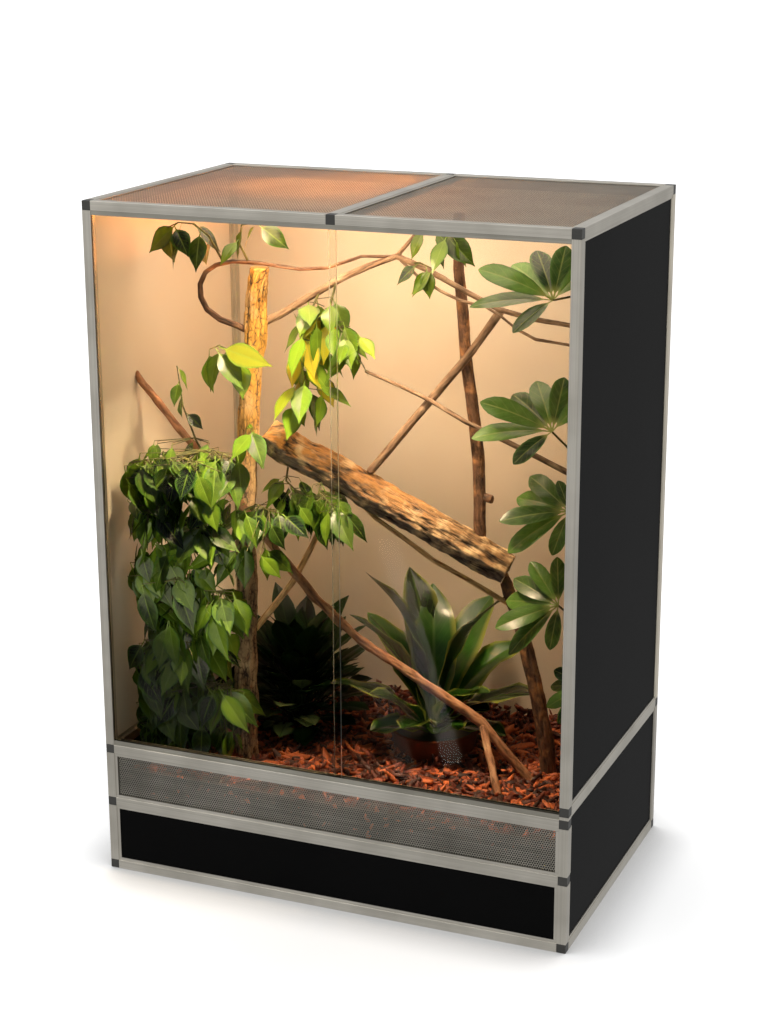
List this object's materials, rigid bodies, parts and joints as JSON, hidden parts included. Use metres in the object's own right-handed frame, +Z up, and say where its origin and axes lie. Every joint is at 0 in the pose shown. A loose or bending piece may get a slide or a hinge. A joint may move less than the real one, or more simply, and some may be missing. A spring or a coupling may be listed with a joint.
{
  "type": "terrarium",
  "caption": "Tall furnished terrarium with an aluminium tube frame, sliding glass doors, black panels, a perforated top and a vent strip.",
  "frame": {"origin": "middle of the base, on the surface that the base rails stand on", "axes": "+Z up, +X to the right along the front, +Y from the glass doors to the back panel"},
  "size_m": [0.8, 0.5, 1.12],
  "materials": {
    "frame_aluminium": "satin anodised",
    "connector_plastic": "matt moulded",
    "black_panel": "matt laminate",
    "pale_liner": "matt",
    "tray_plastic": "matt",
    "perforated_aluminium": "mill, perforated",
    "track_aluminium": "satin anodised",
    "door_glass": "clear float glass",
    "bark": "rough chips",
    "trunk_wood": "rough",
    "cork": "cork bark",
    "branch_wood": "bark on",
    "ficus_leaf": "waxy leaf",
    "umbrella_leaf": "waxy leaf",
    "broad_leaf": "waxy leaf",
    "dark_leaf": "waxy leaf",
    "terracotta": "matt clay",
    "soil": "loose soil"
  },
  "bodies": {
    "case": {"back_liner": "pale_liner", "back_panel": "black_panel", "bark_bed": "bark", "base_corner_connectors": "connector_plastic", "base_long_rails": "frame_aluminium", "base_side_rails": "frame_aluminium", "cork_log": "cork", "creeper_loop": "branch_wood", "ficus": "ficus_leaf", "floor_panel": "black_panel", "front_left_post": "frame_aluminium", "front_right_post": "frame_aluminium", "front_top_rails": "frame_aluminium", "ground_plant": "dark_leaf", "leaning_stick": "branch_wood", "left_liner": "pale_liner", "left_lower_panel": "black_panel", "left_side_rail": "frame_aluminium", "left_upper_panel": "black_panel", "long_branch": "branch_wood", "low_branches": "branch_wood", "lower_posts": "frame_aluminium", "lower_track": "track_aluminium", "plant_pot": "terracotta", "plinth_panel": "black_panel", "post_spacer": "frame_aluminium", "pot_soil": "soil", "potted_plant": "broad_leaf", "rear_left_post": "frame_aluminium", "rear_right_post": "frame_aluminium", "rear_top_rails": "frame_aluminium", "right_liner": "pale_liner", "right_lower_panel": "black_panel", "right_side_rail": "frame_aluminium", "right_stem": "branch_wood", "right_upper_panel": "black_panel", "side_rail_connectors": "connector_plastic", "side_top_rails": "frame_aluminium", "sill_connectors": "connector_plastic", "sill_rail": "frame_aluminium", "substrate_tray": "tray_plastic", "thin_branch": "branch_wood", "top_branch": "branch_wood", "top_corner_connectors": "connector_plastic", "top_cross_rail": "frame_aluminium", "top_mesh_left": "perforated_aluminium", "top_mesh_right": "perforated_aluminium", "top_tee_connectors": "connector_plastic", "trunk": "trunk_wood", "umbrella_plant": "umbrella_leaf", "upper_track": "track_aluminium", "upright_branch": "branch_wood", "vent_mesh": "perforated_aluminium", "vent_posts": "frame_aluminium", "vent_rail": "frame_aluminium", "vent_tee_connectors": "connector_plastic"},
    "left_door": {"left_glass_door": "door_glass"},
    "right_door": {"right_glass_door": "door_glass"}
  },
  "joints": [
    {"name": "left_door_slide", "type": "slide", "parent": "case", "child": "left_door", "axis": [1, 0, 0], "range_m": [0, 0.36]},
    {"name": "right_door_slide", "type": "slide", "parent": "case", "child": "right_door", "axis": [1, 0, 0], "range_m": [-0.394, 0]}
  ]
}
